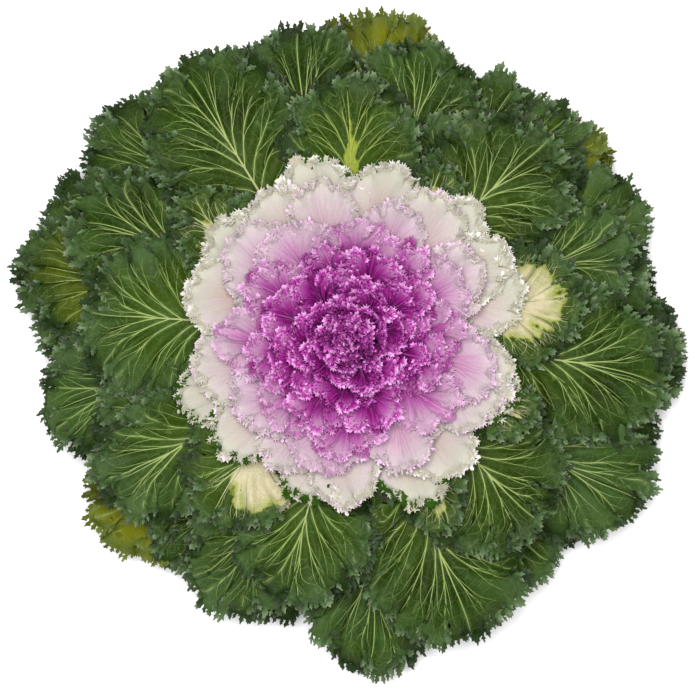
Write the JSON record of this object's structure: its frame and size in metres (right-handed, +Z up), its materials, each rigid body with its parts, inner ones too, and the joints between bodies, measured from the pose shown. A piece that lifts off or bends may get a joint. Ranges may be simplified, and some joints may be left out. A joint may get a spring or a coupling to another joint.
{
  "type": "ornamental cabbage head",
  "caption": "Cut head of frilled ornamental cabbage: a flat rosette of veined green leaves round a ruffled cream, pink and magenta heart, standing on its cut stalk.",
  "frame": {"origin": "middle of the stalk's flat cut face, on the surface that the head stands on", "axes": "+Z up along the stalk, from the cut face to the heart; +X to the right and +Y to the top of the picture, which looks straight down on the head"},
  "size_m": [0.3395, 0.3368, 0.0996],
  "materials": {
    "leaf_green": "satin, with paler raised veins and a grey-green frilled edge",
    "leaf_olive": "satin, yellowing between the veins",
    "leaf_variegated": "satin, cream at the base running out to green at the frilled edge",
    "cream": "satin, cream white with blush towards the heart",
    "blush": "satin, pale pink with paler frills",
    "pink": "satin, orchid pink with paler frills",
    "magenta": "satin, deep magenta with pink-white frills",
    "stalk": "matt, pale green rind and a pale pithy cut face"
  },
  "bodies": {
    "root": {"blush_leaves": "blush", "cream_leaves": "cream", "inner_green_leaf_01": "leaf_green", "inner_green_leaf_02": "leaf_green", "inner_green_leaf_03": "leaf_green", "inner_green_leaf_04": "leaf_green", "inner_green_leaf_05": "leaf_green", "inner_green_leaf_06": "leaf_green", "inner_green_leaf_07": "leaf_green", "inner_green_leaf_08": "leaf_green", "inner_green_leaf_09": "leaf_green", "inner_green_leaf_10": "leaf_green", "magenta_heart": "magenta", "middle_green_leaf_01": "leaf_green", "middle_green_leaf_02": "leaf_green", "middle_green_leaf_03": "leaf_green", "middle_green_leaf_04": "leaf_green", "middle_green_leaf_05": "leaf_green", "middle_green_leaf_06": "leaf_green", "middle_green_leaf_07": "leaf_green", "middle_green_leaf_08": "leaf_green", "middle_green_leaf_09": "leaf_green", "middle_green_leaf_10": "leaf_green", "olive_leaf_01": "leaf_olive", "olive_leaf_02": "leaf_olive", "olive_leaf_03": "leaf_olive", "outer_green_leaf_01": "leaf_green", "outer_green_leaf_02": "leaf_green", "outer_green_leaf_03": "leaf_green", "outer_green_leaf_04": "leaf_green", "outer_green_leaf_05": "leaf_green", "outer_green_leaf_06": "leaf_green", "outer_green_leaf_07": "leaf_green", "outer_green_leaf_08": "leaf_green", "outer_green_leaf_09": "leaf_green", "outer_green_leaf_10": "leaf_green", "outer_green_leaf_11": "leaf_green", "outer_green_leaf_12": "leaf_green", "outer_green_leaf_13": "leaf_green", "outer_green_leaf_14": "leaf_green", "outer_green_leaf_15": "leaf_green", "outer_green_leaf_16": "leaf_green", "outer_green_leaf_17": "leaf_green", "pink_leaves": "pink", "stalk": "stalk", "variegated_leaf_01": "leaf_variegated", "variegated_leaf_02": "leaf_variegated", "variegated_leaf_03": "leaf_variegated", "variegated_leaf_04": "leaf_variegated", "variegated_leaf_05": "leaf_variegated", "variegated_leaf_06": "leaf_variegated"}
  },
  "joints": []
}
